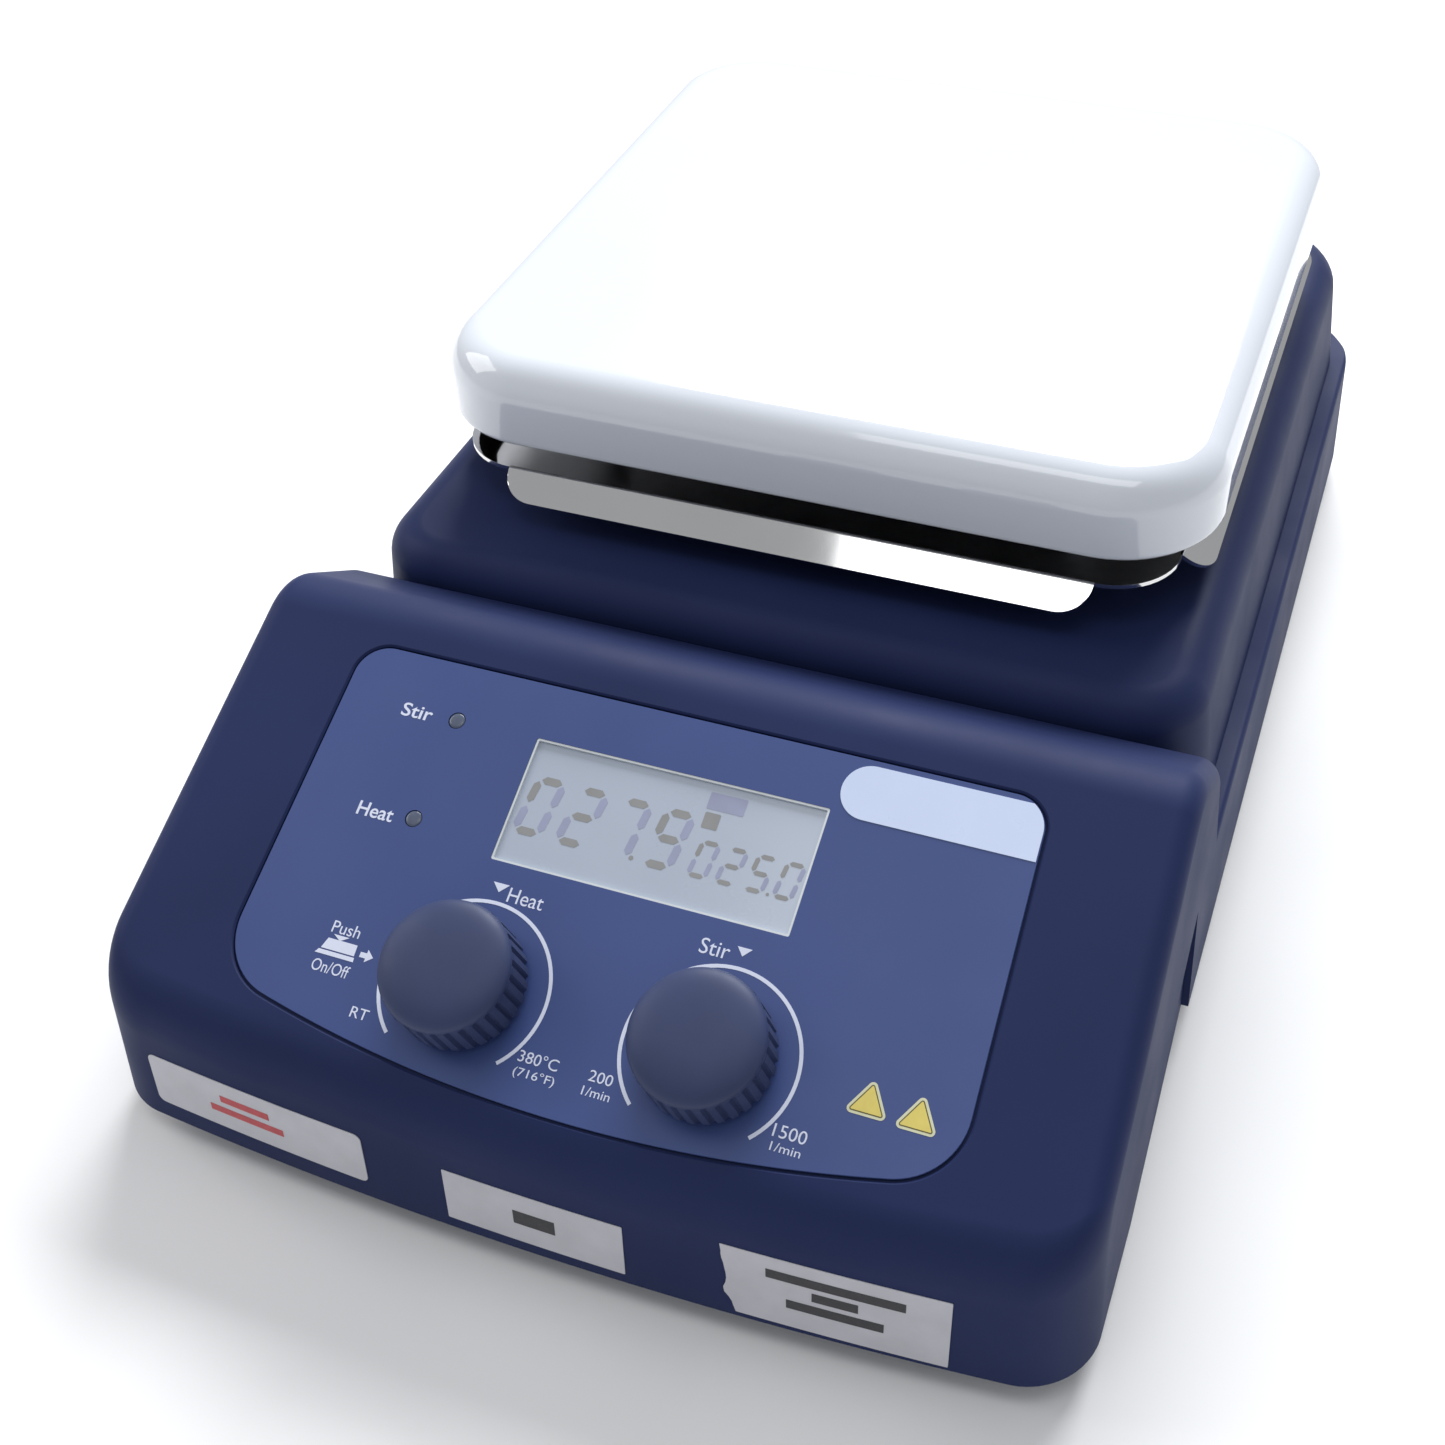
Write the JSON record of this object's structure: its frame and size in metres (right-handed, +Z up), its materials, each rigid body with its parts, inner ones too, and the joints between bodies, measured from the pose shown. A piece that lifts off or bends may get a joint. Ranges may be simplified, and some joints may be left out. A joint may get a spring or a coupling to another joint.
{
  "type": "magnetic stirrer",
  "caption": "Bench magnetic stirrer with a square white hot plate on a heat shield, a sloped control panel with a display and push-and-turn knobs, and rear power and probe sockets.",
  "frame": {"origin": "middle of the footprint, on the surface that the feet stand on", "axes": "+X to the right seen from the control panel, +Y to the back, +Z up"},
  "size_m": [0.215, 0.36, 0.112],
  "materials": {
    "navy_housing": "satin navy paint over a cast housing, fine orange peel",
    "panel_film": "printed blue film with a fine matt texture",
    "knob_plastic": "moulded navy plastic with a soft sheen",
    "white_enamel": "glossy white enamel",
    "polished_steel": "mirror-polished stainless sheet",
    "zinc_steel": "zinc-plated",
    "motor_steel": "dark steel can",
    "foot_rubber": "matt black rubber",
    "black_plastic": "fine-textured black plastic",
    "ceramic_fibre": "pressed ceramic fibre",
    "mica": "layered mica sheet",
    "circuit_board": "green solder mask",
    "display_glass": "grey-green display behind a clear window",
    "lamp_lens": "unlit green-grey lens",
    "nickel": "nickel plate",
    "transformer_core": "laminated core with copper winding",
    "bare_aluminium": "plain extrusion"
  },
  "bodies": {
    "base": {"base_pan": "zinc_steel", "clamp_sheet": "zinc_steel", "control_board": "circuit_board", "display_module": "black_plastic", "display_window": "display_glass", "foot_front_left": "foot_rubber", "foot_front_right": "foot_rubber", "foot_rear_left": "foot_rubber", "foot_rear_right": "foot_rubber", "foot_screw_front_left": "zinc_steel", "foot_screw_front_right": "zinc_steel", "foot_screw_rear_left": "zinc_steel", "foot_screw_rear_right": "zinc_steel", "heat_encoder_body": "black_plastic", "heat_lamp": "lamp_lens", "heat_shield": "polished_steel", "heat_sink": "bare_aluminium", "heating_element": "mica", "housing": "navy_housing", "inlet_pin_earth": "nickel", "inlet_pin_live": "nickel", "inlet_pin_neutral": "nickel", "inlet_socket": "black_plastic", "insulation_pad": "ceramic_fibre", "motor_body": "motor_steel", "motor_bracket": "zinc_steel", "panel_overlay": "panel_film", "plate_pillar_front_left": "zinc_steel", "plate_pillar_front_right": "zinc_steel", "plate_pillar_rear_left": "zinc_steel", "plate_pillar_rear_right": "zinc_steel", "plate_probe": "nickel", "power_board": "circuit_board", "probe_socket": "nickel", "rear_plate": "black_plastic", "serial_socket": "zinc_steel", "stir_encoder_body": "black_plastic", "stir_lamp": "lamp_lens", "transformer": "transformer_core", "work_plate": "white_enamel"},
    "heat_rotor": {"heat_encoder_rotor": "black_plastic"},
    "heat_control": {"heat_knob": "knob_plastic", "heat_stem": "zinc_steel"},
    "stir_rotor": {"stir_encoder_rotor": "black_plastic"},
    "stir_control": {"stir_knob": "knob_plastic", "stir_stem": "zinc_steel"},
    "drive": {"motor_shaft": "zinc_steel", "motor_fan": "black_plastic", "magnet_carrier": "zinc_steel", "drive_magnet_left": "nickel", "drive_magnet_right": "nickel"},
    "fuse_tray": {"fuse_drawer": "black_plastic", "working_fuse": "nickel", "spare_fuse": "nickel"}
  },
  "joints": [
    {"name": "heat_turn", "type": "hinge", "parent": "base", "child": "heat_rotor", "pos_m": [-0.0257, -0.15339, 0.05032], "axis": [0, -0.4115, 0.9114], "range_deg": [-274, 0]},
    {"name": "heat_push", "type": "slide", "parent": "heat_rotor", "child": "heat_control", "axis": [0, -0.4115, 0.9114], "range_m": [-0.001, 0], "stiffness_N_per_m": 800, "springref_m": 0.002},
    {"name": "stir_turn", "type": "hinge", "parent": "base", "child": "stir_rotor", "pos_m": [0.0266, -0.15339, 0.05032], "axis": [0, -0.4115, 0.9114], "range_deg": [-274, 0]},
    {"name": "stir_push", "type": "slide", "parent": "stir_rotor", "child": "stir_control", "axis": [0, -0.4115, 0.9114], "range_m": [-0.001, 0], "stiffness_N_per_m": 800, "springref_m": 0.002},
    {"name": "motor_spin", "type": "hinge", "parent": "base", "child": "drive", "pos_m": [0, 0.0595, 0.05], "axis": [0, 0, 1], "continuous": true},
    {"name": "fuse_drawer_slide", "type": "slide", "parent": "base", "child": "fuse_tray", "axis": [0, 1, 0], "range_m": [0, 0.018]}
  ]
}
